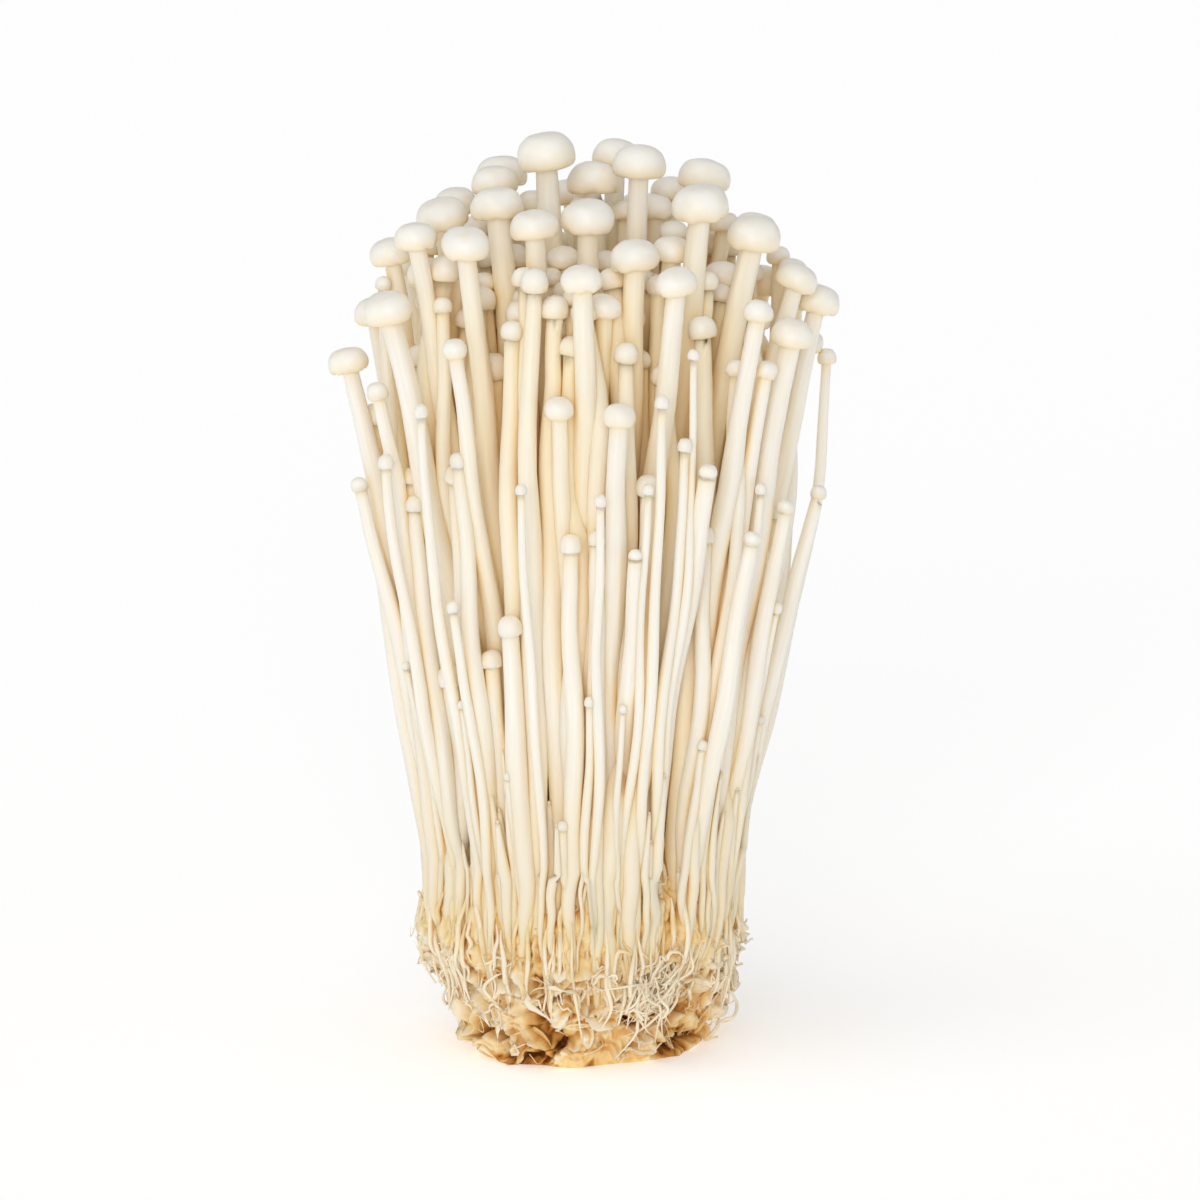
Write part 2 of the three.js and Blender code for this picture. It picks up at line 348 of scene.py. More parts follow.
def soft_material(name, roughness, ior, scatter, colours, depth):
    """A Principled material that scatters light inside it, with its tree and shader."""
    material = bpy.data.materials.new(name)
    material.use_nodes = True
    shader = material.node_tree.nodes["Principled BSDF"].inputs
    for label, value in (("Roughness", roughness), ("IOR", ior), ("Subsurface Weight", scatter),
                         ("Subsurface Radius", colours), ("Subsurface Scale", depth)):
        shader[label].default_value = value
    return material, material.node_tree, shader


def dress(tree, shader, colour, height, strength, depth):
    """Wires a colour and a bump into the shader."""
    tree.links.new(colour, shader["Base Color"])
    bump = add(tree, "ShaderNodeBump", {"Height": height, "Strength": strength, "Distance": depth})
    tree.links.new(bump.outputs["Normal"], shader["Normal"])


def attribute(tree, name, output="Fac"):
    return add(tree, "ShaderNodeAttribute", attribute_name=name).outputs[output]


def ramp(tree, factor, stops):
    """A colour ramp over a factor, from (place, hex colour) stops."""
    node = add(tree, "ShaderNodeValToRGB", {"Fac": factor})
    elements = node.color_ramp.elements
    while len(elements) < len(stops):
        elements.new(0.5)
    for element, (place, colour) in zip(elements, stops):
        element.position = place
        element.color = linear(colour)
    return node.outputs["Color"]


def tinted(tree, factor, base, tint):
    """The base colour, moved towards the tint by the factor."""
    node = add(tree, "ShaderNodeMix", {"Factor": factor, 6: base, 7: linear(tint)}, data_type="RGBA")
    return node.outputs[2]


def share_of_tuft(tree, place):
    """How far out in the tuft a point is: 0 on its axis, 1 on its oval outline at that height."""
    do, vec, _ = calculators(tree)
    spot = add(tree, SEPARATE, {"Vector": place}).outputs
    rise = do("DIVIDE", spot["Z"], TALLEST)
    shares = []
    for axis, sizes in (("X", half_width), ("Y", half_depth)):
        points = [(at, float(np.interp(at * TALLEST, levels, sizes)) / TALLEST)
                  for at in np.linspace(0, 1, 9)]
        oval = do("MULTIPLY", curve_through(tree, rise, points), TALLEST)
        shares.append(do("DIVIDE", spot[axis], oval))
    flat = add(tree, COMBINE, {"X": shares[0], "Y": shares[1]})
    return vec("LENGTH", flat).outputs["Value"]


def stem_flesh():
    """Stem: fibrous, satin, white outside the tuft; golden painted shade in its depth, where little light
    reaches, and in its gaps.
    """
    material, tree, shader = soft_material("enoki stem flesh", 0.4, FLESH_IOR, 0.35, SCATTER_COLOURS,
                                           SCATTER_DEPTH)
    do, _, between = calculators(tree)
    streaks = add(tree, "ShaderNodeMapping", {"Vector": attribute(tree, "grain", "Vector"),
                                              "Scale": (1.0, 1.0, FIBRE_STRETCH)})
    fibres = add(tree, "ShaderNodeTexNoise", {"Vector": streaks, "Scale": 1 / FIBRE_WIDTH, "Detail": 3.0})
    place = add(tree, "ShaderNodeTexCoord").outputs["Object"]
    height = add(tree, SEPARATE, {"Vector": place}).outputs["Z"]
    rise = between(height, 14 * MM, 60 * MM, kind="LINEAR")
    tone = ramp(tree, rise, [(0.0, "#e9d8b4"), (0.4, "#efe6d3"), (1.0, "#f9f5ec")])
    # painted shade: stems deep in the tuft, below the caps, where little light reaches, are tinted golden
    under_caps = between(height, 137 * MM, 118 * MM, kind="LINEAR")
    deep_shade = between(share_of_tuft(tree, place), 0.92, 0.6, kind="LINEAR")
    tone = tinted(tree, do("MULTIPLY", deep_shade, under_caps), tone, "#fdecc6")
    # painted shade: golden where another surface is close, in the gaps between stems
    tone = tinted(tree, attribute(tree, "crowding"), tone, "#f9da94")
    tone = tinted(tree, between(fibres, 0.3, 0.75, 0.0, 0.4, "LINEAR"), tone, "#ecdfc4")
    dress(tree, shader, tone, fibres, 0.35, 0.12 * MM)
    return material


def cap_skin():
    """Cap: a thin smooth skin, satin, with faint cloudy patches, tanner towards the rolled-in margin and
    underneath (partly its own tone, partly painted shade).
    """
    material, tree, shader = soft_material("enoki cap skin", 0.3, FLESH_IOR, 0.4, SCATTER_COLOURS,
                                           SCATTER_DEPTH)
    _, _, between = calculators(tree)
    place = add(tree, "ShaderNodeTexCoord").outputs["Object"]
    clouds = add(tree, "ShaderNodeTexNoise", {"Vector": place, "Scale": 1 / (2.5 * MM), "Detail": 4.0,
                                              "Roughness": 0.6})
    # tanner towards the margin and underneath: partly the cap's own tone, partly painted shade below the dome
    tone = ramp(tree, attribute(tree, "cap_rise"), [(0.0, "#f0deb8"), (0.25, "#f7ecd7"), (0.6, "#fcf7ee")])
    # painted shade: golden where another surface is close, under and between the caps
    tone = tinted(tree, attribute(tree, "crowding"), tone, "#f8e3b4")
    tone = tinted(tree, between(clouds, 0.45, 0.75, 0.0, 0.4, "LINEAR"), tone, "#f3e5ca")
    dress(tree, shader, tone, clouds, 0.2, 0.2 * MM)
    return material


stem_material = stem_flesh()
cap_material = cap_skin()
print("finishes:", stem_material.name, "and", cap_material.name)

# %% [markdown]
# ## One tree for every mushroom
#
# A mushroom is an outline swept round a bent line. The tree lays out a flat grid, whose one side is the way
# round and whose other is the way up, and moves each of its points: up the stem first, and from there out
# under the cap, round its rolled-in margin and over the dome. Two curves hold the cap's outline, as shares
# of its reach and of its height. Small noises flute the stem, dent the cap and notch its margin, so no two
# come out alike. Merging by distance then closes the seam and the two poles.

# %% The mushroom tree
HOLLOW = 0.3  # how far up inside the cap its stem ends, as a share of the cap's height
FLUTE_LENGTH = 16 * MM  # how slowly a stem's flutes change along it
LINE_POINTS = 160
CAP_REACH = [(0.0, 0.0), (0.1, 0.42), (0.19, 0.64), (0.27, 0.80), (0.36, 0.92), (0.46, 0.99), (0.56, 0.985),
             (0.67, 0.91), (0.79, 0.73), (0.9, 0.42), (1.0, 0.0)]
CAP_RISE = [(0.0, HOLLOW), (0.1, 0.17), (0.19, 0.05), (0.27, 0.01), (0.36, 0.07), (0.46, 0.23), (0.56, 0.42),
            (0.67, 0.62), (0.79, 0.82), (0.9, 0.95), (1.0, 1.0)]


def mushroom_tree():
    tree, given = open_tree("enoki mushroom", [
        ("Cap Radius", "Float", 4 * MM), ("Cap Height", "Float", 5 * MM), ("Cap Tilt", "Float", 0.0),
        ("Tilt Towards", "Float", 0.0), ("Flutes", "Float", 0.07), ("Dents", "Float", 0.1),
        ("Seed", "Float", 0.0),
        ("Around", "Int", 28), ("Stem Rings", "Int", 70), ("Cap Rings", "Int", 24),
        ("Stem Material", "Material", None), ("Cap Material", "Material", None),
    ])
    do, vec, between = calculators(tree)
    # the bent line, smooth, with the stem's radius along it
    line = add(tree, "GeometryNodeMeshToCurve", {"Mesh": given["Geometry"]})
    line = add(tree, "GeometryNodeCurveSplineType", {"Curve": line}, spline_type="CATMULL_ROM")
    line = add(tree, "GeometryNodeResampleCurve", {"Curve": line, "Count": LINE_POINTS})
    length = add(tree, "GeometryNodeCurveLength", {"Curve": line})
    stem_end = do("MULTIPLY_ADD", given["Cap Height"], HOLLOW - 1, length)

    # the grid: the way round, and the way up as a share of the stem and then of the cap's outline
    rows = do("ADD", given["Stem Rings"], given["Cap Rings"])
    mesh, turn, row, open_row = flat_grid(tree, given["Around"], rows)
    up_stem = between(row, 0.0, given["Stem Rings"], kind="LINEAR")
    up_cap = between(row, given["Stem Rings"], rows, kind="LINEAR")
    cosine, sine = do("COSINE", turn), do("SINE", turn)

    # noises that flute the stem, dent the cap and notch its margin; all meet themselves on the way round
    height = do("MULTIPLY", up_stem, stem_end)
    flute_place = add(tree, COMBINE, {"X": cosine, "Y": sine, "Z": do("DIVIDE", height, FLUTE_LENGTH)})
    flutes = add(tree, "ShaderNodeTexNoise", {"Vector": flute_place, "W": given["Seed"], "Scale": 1.5,
                                              "Detail": 2.0}, noise_dimensions="4D")
    flute_size = do("MULTIPLY_ADD", do("MULTIPLY", do("SUBTRACT", flutes, 0.5), given["Flutes"]), 4.0, 1.0)
    cap_share = curve_through(tree, up_cap, CAP_REACH)
    dent_place = add(tree, COMBINE, {"X": do("MULTIPLY", cosine, cap_share),
                                     "Y": do("MULTIPLY", sine, cap_share),
                                     "Z": up_cap})
    dents = add(tree, "ShaderNodeTexNoise", {"Vector": dent_place, "W": given["Seed"], "Scale": 1.1,
                                             "Detail": 1.0}, noise_dimensions="4D")
    margin_place = add(tree, COMBINE, {"X": cosine, "Y": sine, "Z": given["Seed"]})
    notches = add(tree, "ShaderNodeTexNoise", {"Vector": margin_place, "Scale": 2.2, "Detail": 0.0})
    notch = do("MULTIPLY", between(notches, 0.56, 0.72, 0.0, -1.2), between(up_cap, 0.62, 0.3))
    swell = do("MULTIPLY_ADD", do("SUBTRACT", dents, 0.5), 2.4, notch)
    cap_size = do("MULTIPLY_ADD", swell, given["Dents"], 1.0)

    # how far out and how far up each point lies
    radius = add(tree, NAMED, {"Name": "stem_radius"})
    here = add(tree, "GeometryNodeSampleCurve", {"Curves": line, "Value": radius, "Length": height},
               mode="LENGTH").outputs
    fade = between(up_cap, 0.0, 0.16, 1.0, 0.0)
    stem_reach = do("MULTIPLY", do("MULTIPLY", here["Value"], flute_size), fade)
    cap_reach = do("MULTIPLY", cap_share, given["Cap Radius"])
    reach = do("MULTIPLY", do("MULTIPLY_ADD", cap_reach, cap_size, stem_reach), open_row)
    outline = curve_through(tree, up_cap, CAP_RISE)
    rise = do("MULTIPLY", do("MULTIPLY", do("SUBTRACT", outline, HOLLOW), given["Cap Height"]), cap_size)

    # from there to its place: out along the line's own two sides, and up along its tangent
    side, along = here["Normal"], here["Tangent"]
    other = vec("CROSS_PRODUCT", along, side)

    def on_both_sides(amount, other_amount):
        return vec("ADD", vec("SCALE", side, Scale=amount), vec("SCALE", other, Scale=other_amount))

    out = on_both_sides(do("MULTIPLY", reach, cosine), do("MULTIPLY", reach, sine))
    axis = on_both_sides(do("COSINE", given["Tilt Towards"]), do("SINE", given["Tilt Towards"]))
    on_cap = do("GREATER_THAN", up_cap, 0.001)
    turned = add(tree, "ShaderNodeVectorRotate", {
        "Vector": vec("ADD", out, vec("SCALE", along, Scale=rise)), "Axis": axis,
        "Angle": do("MULTIPLY", given["Cap Tilt"], on_cap),
    }, rotation_type="AXIS_ANGLE")

    # the attributes that the finishes read; the grain is in millimetres along the stem
    grain = add(tree, COMBINE, {"X": cosine, "Y": sine, "Z": do("DIVIDE", height, MM)})
    mesh = add(tree, STORE, {"Geometry": mesh, "Name": "grain", "Value": grain}, data_type="FLOAT_VECTOR")
    for name, value in (("cap_rise", outline), ("is_cap", on_cap)):
        mesh = add(tree, STORE, {"Geometry": mesh, "Name": name, "Value": value})
    mesh = bend(tree, mesh, vec("ADD", here["Position"], turned))
    mesh = add(tree, "GeometryNodeSetMaterial", {"Geometry": mesh, "Material": given["Stem Material"]})
    cap_faces = do("GREATER_THAN", add(tree, NAMED, {"Name": "is_cap"}), 0.5)
    return close_tree(tree, mesh, given["Cap Material"], cap_faces)


mushroom_shape = mushroom_tree()
print("the mushroom tree has", len(mushroom_shape.nodes), "nodes")

# %% [markdown]
# ## The block's own shape
#
# Low down, every stem has to end in the block, so the script needs to know how far the block reaches at any
# angle and height. The CAD block is a pile of rings like a stem, which gives a small table of reaches to
# read between.

# %% Measure the block
ANGLES = np.linspace(-math.pi, math.pi, 97)


def block_table(node):
    """Heights of the block's rings, and its reach at each of them over ANGLES."""
    points = points_of(node)
    rings = np.split(points, np.flatnonzero(np.diff(points[:, 2]) > MM) + 1)
    rows = []
    for ring in rings:
        reach = np.hypot(ring[:, 0], ring[:, 1])
        rim = ring[reach > 0.3 * reach.max()]
        turns = np.arctan2(rim[:, 1], rim[:, 0])
        rows.append(np.interp(ANGLES, turns, np.hypot(rim[:, 0], rim[:, 1]), period=math.tau))
    return np.array([ring[:, 2].mean() for ring in rings]), np.array(rows)


ring_heights, ring_reach = block_table("mycelium_block")


def block_reach(angle, height):
    """How far the block reaches from its axis at these angles and heights."""
    column = np.clip((np.asarray(angle) + math.pi) / math.tau * (len(ANGLES) - 1), 0, len(ANGLES) - 1.001)
    row = np.clip(np.interp(height, ring_heights, np.arange(len(ring_heights))), 0, len(ring_heights) - 1.001)
    i, j = row.astype(int), column.astype(int)
    u, v = row - i, column - j
    low = ring_reach[i, j] * (1 - v) + ring_reach[i, j + 1] * v
    high = ring_reach[i + 1, j] * (1 - v) + ring_reach[i + 1, j + 1] * v
    return low * (1 - u) + high * u


print("block", round(BLOCK_TOP / MM, 1), "mm tall, reach", (ring_reach.min() / MM).round(1), "to",
      (ring_reach.max() / MM).round(1), "mm")

# %% [markdown]
# ## The mushrooms that the frame doesn't hold
#
# Between the 59 stand more: smaller caps deeper in the crown and at the back, and the stems that gave up
# early. The rows give what a grower would note, the place and size of each cap. Pinheads sit on the outside
# of the tuft, so their rows leave the depth out. Then comes a crowd of thin stems with no row at all,
# placed by a fixed seed.

# %% Rows for the smaller mushrooms
# millimetres: [x, y, top, cap diameter, stem diameter]
SMALL_CAPS = [
    [33.5, 6, 127, 4.8, 2.6], [13, 14, 139, 5.8, 2.8], [-3.5, -8, 131, 5.4, 2.8], [-9.5, 6, 138, 5.6, 2.8],
    [6.5, 2, 137, 5.6, 2.8], [33.5, 2, 122, 4.5, 2.5], [39, 6, 112.5, 3.1, 1.6], [31, 9, 128.5, 3.8, 2.2],
    [-0.5, 12, 141, 3.8, 2.4], [3.5, -6, 130, 4.8, 2.6], [11.5, -12, 127, 3.8, 2.4], [-15, -8, 127, 3.8, 2.3],
    [-9.5, -9, 119, 3.8, 2.4], [24, -18, 114.5, 3.5, 2.2], [-23, -14, 124, 3.2, 2.2],
    [-32, -6, 126, 2.6, 1.8],
    [-25, 2, 131, 5.2, 2.6], [-17, 5, 134, 4.6, 2.5], [0, 5, 137, 5.0, 2.6], [14, 0, 134, 4.6, 2.5],
    [22, 10, 134, 5.4, 2.7], [-7, 13, 134, 5.0, 2.6], [-26, 6, 125, 4.4, 2.4], [8, 13, 131, 5.0, 2.6],
    [-17, 15, 131, 5.6, 2.8], [26, 8, 126, 4.6, 2.5], [-24, 17, 122, 5.0, 2.6], [-4, 25, 128, 5.4, 2.7],
    [10, 25, 127, 5.6, 2.8], [21, 24, 118, 4.6, 2.5], [-15, 25, 120, 4.4, 2.4], [33, 11, 116, 4.0, 2.3],
    [-31, 10, 117, 4.4, 2.4],
]
# millimetres: [x, top, bead diameter], on the front of the tuft
FRONT_PINHEADS = [
    [-31.5, 99.5, 2.6], [-25.5, 108.5, 2.4], [12, 111, 2.4], [16, 104, 2.4], [17, 118, 1.9], [28, 95.5, 1.9],
    [-10, 97, 1.9], [2.5, 95.5, 2.1], [10, 97, 1.9], [30.5, 75, 2.1], [-21, 77, 2.1], [-28.5, 65, 1.4],
    [-29.5, 54, 1.8], [-19.5, 60.5, 1.4], [1, 62.5, 1.8], [6, 61, 1.4], [19, 54, 1.8], [28, 55.5, 1.4],
    [-12, 49.5, 1.4], [-28.5, 44, 1.4],
]
INNER_STEMS = 120  # stems deep inside, which rise almost straight and show through the gaps
MIDDLE_STEMS = 48  # ones that ended half way up, behind the outer ones
OUTER_STEMS = 170  # thin ones round the foot of the tuft
BEADED = 0.12  # the share of those that end in a bead; the rest end in a point
rng = np.random.default_rng(41)

# %% [markdown]
# ## Letting the crowd find its room
#
# Stems that grow together press on each other and bend aside. The same happens here, level by level: each
# new stem starts on the tuft's own taper, and wherever two come too close they are pushed apart, while
# smoothing keeps each line supple. The measured CAD stems stay where they are. This is a small simulation
# of a few seconds in numpy.

# %% Settle the crowd between the CAD stems
ROUNDS = 70
SQUEEZE = 0.94  # soft flesh: neighbours may press this close


def wanted_line(x, y, top, splay=1.0):
    """A line up the tuft's taper that ends at x, y at its top, in metres, and starts splayed by a factor."""
    width = np.interp(top, levels, half_width)
    depth = np.interp(top, levels, half_depth)
    splayed = 1 + (splay - 1) * np.clip((top - levels) / (top - levels[0]), 0, 1)
    return np.stack([x / width * half_width * splayed, y / depth * half_depth * splayed], axis=1)


YOUNG_CAPS = [2.4, 5.0]  # millimetres across: a young cap is still a ball
YOUNG_HEIGHTS = [0.88, 0.56]  # the height of such caps, as a share of their width
SWELL_PLACES = [0.0, 0.17, 0.35, 0.55, 0.8, 1.0]
SWELL = [0.62, 0.9, 1.08, 1.15, 1.03, 0.92]  # a stem's radius from the block's top to its cap
POINTED = [0.62, 0.95, 1.05, 0.9, 0.6, 0.34]  # the same on one that ends in a point


def stem(x, y, top, cap_radius, stem_radius, height_share=0.58, splay=1.0, swell=SWELL):
    """A mushroom to be settled, in metres."""
    return {
        "wanted": wanted_line(x, y, top, splay), "top": top, "cap_radius": cap_radius, "swell": swell,
        "stem_radius": stem_radius, "cap_height": 2 * cap_radius * height_share,
    }


def front_of(x, top):
    """The depth, towards -Y, of the tuft's outside at this x and height."""
    width, depth = np.interp(top, levels, half_width), np.interp(top, levels, half_depth)
    return -depth * math.sqrt(max(1 - (x / width) ** 2, 0.0))


crowd = [stem(x * MM, y * MM, top * MM, cap / 2 * MM, thick / 2 * MM,
              np.interp(cap, YOUNG_CAPS, YOUNG_HEIGHTS))
         for x, y, top, cap, thick in SMALL_CAPS]
crowd += [stem(x * MM, front_of(x * MM, top * MM), top * MM, bead / 2 * MM, bead * 0.3 * MM, 0.9)
          for x, top, bead in FRONT_PINHEADS]
listed = len(crowd)
print(listed, "more mushrooms in rows")
for count, nearest, furthest, low, high, thin, thick, splay in (
    (INNER_STEMS, 0.1, 0.7, 113, 131, 1.1, 1.6, 1.35), (MIDDLE_STEMS, 0.66, 0.88, 58, 108, 0.8, 1.3, 1.2),
    (OUTER_STEMS, 0.9, 1.03, 29, 54, 0.4, 0.85, 1.0),
):
    for _ in range(count):
        turn, share = rng.uniform(0, math.tau), math.sqrt(rng.uniform(nearest ** 2, furthest ** 2))
        top = (low + (high - low) * rng.uniform() ** (1.0 if splay > 1 else 1.6)) * MM
        radius = rng.uniform(thin, thick) * MM
        x = share * math.cos(turn) * np.interp(top, levels, half_width)
        y = share * math.sin(turn) * np.interp(top, levels, half_depth)
        if splay > 1 or rng.uniform() < BEADED:
            crowd.append(stem(x, y, top, radius * rng.uniform(1.3, 1.8), radius, 0.8, splay))
        else:
            crowd.append(stem(x, y, top, radius * 0.36, radius, 1.2, splay, POINTED))


def crowd_reach(m):
    share = (levels - BLOCK_TOP) / (m["top"] - BLOCK_TOP)
    room = m["stem_radius"] * np.interp(share, SWELL_PLACES, m["swell"])
    room = np.where(levels > m["top"] - m["cap_height"] * 1.3, m["cap_radius"], room)
    return np.where(levels > m["top"] + 0.5 * MM, -1.0, room)


def settle(lines, wanted, reach):
    """Moves the crowd's lines aside until they fit between each other and the CAD stems."""
    everyone_reach = np.concatenate([reach, fixed_reach])
    movers = len(lines)
    for round_number in range(ROUNDS):
        everyone = np.concatenate([lines, fixed_lines])
        for k in range(len(levels)):
            alive = np.flatnonzero(reach[:, k] > 0)
            others = np.flatnonzero(everyone_reach[:, k] > 0)
            away = everyone[alive, None, k] - everyone[None, others, k]
            apart = np.hypot(away[..., 0], away[..., 1]) + 1e-9
            need = (reach[alive, None, k] + everyone_reach[None, others, k]) * SQUEEZE
            overlap = np.where(alive[:, None] == others[None, :], 0, np.clip(need - apart, 0, None))
            yields = np.where(others[None, :] < movers, 0.5, 0.8)
            lines[alive, k] += 0.7 * (away / apart[..., None] * (overlap * yields)[..., None]).sum(axis=1)
        lines[:, 1:-1] += 0.3 * ((lines[:, :-2] + lines[:, 2:]) / 2 - lines[:, 1:-1])
        lines += 0.02 * (wanted - lines)
        spread = np.hypot(lines[..., 0] / half_width, lines[..., 1] / half_depth)
        lines /= np.maximum(spread / 1.03, 1)[..., None]


wanted = np.array([m["wanted"] for m in crowd])
crowd_lines = wanted.copy()
settle(crowd_lines, wanted, np.array([crowd_reach(m) for m in crowd]))
print(len(crowd), "more stems settled; the tuft is", (2 * half_width[-1] / MM).round(1), "mm wide")

# %% [markdown]
# ## Down into the block
#
# A stem doesn't stop at the block. It thins to a thread, wanders a little, and sinks into the felt. The
# outermost ones come to the block's side on their way down, where they show as ridges that run on and fade
# out.

# %% Give every stem its root
ROOT_START = 33 * MM  # from here down a stem thins and wanders
ROOT_STEP = 3 * MM
ROOT_PLACES = [8, 14, 20, 26, 33]
ROOT_SHARES = [0.3, 0.44, 0.62, 0.85, 1.0]  # of the stem's radius at ROOT_START, at those heights in mm
PLUMP_PLACES = [24, 40, 80, 115]
PLUMP = [1.42, 1.3, 1.14, 1.0]  # soft stems swell into the room left between them, most of all low down
WANDER = 0.3 * MM
WANDER_LENGTHS = (37 * MM, 61 * MM)


def wandering(line):
    """The line with a slow wander of its own, which dies away at the block and at the cap."""
    heights, top = line[:, 2], line[-1][2]
    share = np.clip((heights - BLOCK_TOP) / (top - 8 * MM - BLOCK_TOP), 0, 1)
    moved = line.copy()
    for axis in (0, 1):
        for length in WANDER_LENGTHS:
            swing = np.sin(math.tau * (heights / length + rng.uniform()))
            moved[:, axis] += WANDER * swing * np.sin(math.pi * share) ** 0.5
    return moved


def rooted(line, radii, end):
    """The line from ROOT_START up, with a wandering root below it that ends in the block at height `end`."""
    fine = np.unique(np.concatenate([np.arange(line[0][2], line[-2][2], 6 * MM), line[-2:, 2]]))
    radii = np.interp(fine, line[:, 2], radii) * np.interp(fine / MM, PLUMP_PLACES, PLUMP)
    line = wandering(smooth_between(line, fine))
    start = np.array([np.interp(ROOT_START, line[:, 2], line[:, axis]) for axis in (0, 1)])
    thick = np.interp(ROOT_START, line[:, 2], radii)
    turn, out = math.atan2(start[1], start[0]), np.hypot(*start)
    share = min(out / block_reach(turn, np.array(BLOCK_TOP)), 1.0)
    heights = np.arange(end, ROOT_START, ROOT_STEP)
    sink = np.clip((ROOT_START - heights) / (ROOT_START - 12 * MM), 0, 1)
    shares = share + (0.975 - share) * sink if share > 0.72 else share * np.ones(len(heights))
    outs = shares * block_reach(turn, heights)
    outs = outs + (out - outs[-1]) * np.clip((heights - BLOCK_TOP) / (ROOT_START - BLOCK_TOP), 0, 1)
    outs[0] -= 1.6 * MM
    wander = np.cumsum(rng.normal(0, 0.35, len(heights)))[::-1] * MM
    turns = turn + wander / np.maximum(outs, 4 * MM)
    root = np.stack([outs * np.cos(turns), outs * np.sin(turns), heights], axis=1)
    keep = line[:, 2] > ROOT_START + 0.5 * ROOT_STEP
    root_radii = thick * np.interp(heights / MM, ROOT_PLACES, ROOT_SHARES)
    begin = np.array([[*start, ROOT_START]])
    return np.vstack([root, begin, line[keep]]), np.concatenate([root_radii, [thick], np.array(radii)[keep]])


def smooth_between(line, heights):
    """Points of a smooth curve through the line's points, at these heights."""
    slopes = np.gradient(line[:, :2], line[:, 2], axis=0)
    k = np.clip(np.searchsorted(line[:, 2], heights, side="right") - 1, 0, len(line) - 2)
    gap = (line[k + 1, 2] - line[k, 2])[:, None]
    t = ((heights - line[k, 2]) / gap[:, 0])[:, None]
    start, end = line[k, :2], line[k + 1, :2]
    bent = (1 + 2 * t) * (1 - t) ** 2 * start + t * (1 - t) ** 2 * gap * slopes[k]
    bent += t ** 2 * (3 - 2 * t) * end + t ** 2 * (t - 1) * gap * slopes[k + 1]
    return np.column_stack([bent, heights])


def bent_line(name, points, radii):
    """A chain of edges through these points, with the stem's radius at each."""
    mesh = bpy.data.meshes.new(name + "_line")
    mesh.from_pydata(points.tolist(), [(i, i + 1) for i in range(len(points) - 1)], [])
    stored = mesh.attributes.new("stem_radius", "FLOAT", "POINT")
    stored.data.foreach_set("value", np.asarray(radii, np.float32))
    return mesh


def grow_mushroom(name, points, radii, cap_radius, cap_height, around, stem_rings, cap_rings,
                  skin=cap_material):
    """One whole mushroom, with its own small tilt, flutes and dents."""
    return grow(name, mushroom_shape, {
        "Cap Radius": float(cap_radius), "Cap Height": float(cap_height),
        "Cap Tilt": float(rng.uniform(-0.2, 0.2)), "Tilt Towards": float(rng.uniform(0, math.pi)),
        "Flutes": float(rng.uniform(0.04, 0.1)), "Dents": float(rng.uniform(0.06, 0.12)),
        "Seed": float(rng.uniform(0, 50)), "Around": around, "Stem Rings": stem_rings, "Cap Rings": cap_rings,
        "Stem Material": stem_material, "Cap Material": skin,
    }, bent_line(name, points, radii))


flesh = []
for node, m in mushrooms.items():
    points, radii = rooted(m["line"], m["radii"], rng.uniform(9, 17) * MM)
    piece = grow_mushroom(node + "_flesh", points, radii, m["cap_radius"], m["cap_height"], 30, 80, 24)
    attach(piece, "root")
    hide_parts(node)
    flesh.append(piece)
print("each has", len(piece.data.polygons), "faces")

# %% [markdown]
# ## The smaller ones, in groups
#
# The same tree grows the crowd, with fewer faces on each because they are many. They are joined into a few
# pieces.

# %% Grow and gather the crowd


def gather(name, pieces):
    """Joins these pieces into one, which rides on the bunch's only body."""
    with bpy.context.temp_override(active_object=pieces[0], selected_editable_objects=pieces):
        bpy.ops.object.join()
    pieces[0].name = name
    pieces[0].data.name = name
    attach(pieces[0], "root")
    print(name, len(pieces[0].data.polygons), "faces")
    return pieces[0]


def grow_crowd(name, members, around, stem_rings, cap_rings, skin=cap_material):
    """Grows these members of the crowd and gathers them."""
    pieces = []
    for i in members:
        m, line = crowd[i], crowd_lines[i]
        reached = levels < m["top"] - 2 * MM
        top = [np.interp(m["top"], levels, line[:, axis]) for axis in (0, 1)]
        points = np.vstack([np.column_stack([line, levels])[reached][::2], [[*top, m["top"]]]])
        share = (points[:, 2] - BLOCK_TOP) / (m["top"] - BLOCK_TOP)
        radii = m["stem_radius"] * np.interp(share, SWELL_PLACES, m["swell"])
        points, radii = rooted(points, radii, rng.uniform(9, 19) * MM)
        pieces.append(grow_mushroom(f"{name}_{i}", points, radii, m["cap_radius"], m["cap_height"],
                                    around, stem_rings, cap_rings, skin))
    flesh.append(gather(name, pieces))


half = len(SMALL_CAPS) // 2
grow_crowd("small_mushrooms_front", range(half), 26, 60, 20)
grow_crowd("small_mushrooms_back", range(half, len(SMALL_CAPS)), 26, 60, 20)
grow_crowd("front_pinheads", range(len(SMALL_CAPS), listed), 14, 40, 12, stem_material)
first_thin = len(crowd) - OUTER_STEMS
grow_crowd("inner_stems", range(listed, listed + INNER_STEMS), 10, 30, 8)
grow_crowd("middle_stems", range(listed + INNER_STEMS, first_thin), 14, 36, 12, stem_material)
grow_crowd("thin_stems", range(first_thin, len(crowd)), 10, 26, 7, stem_material)
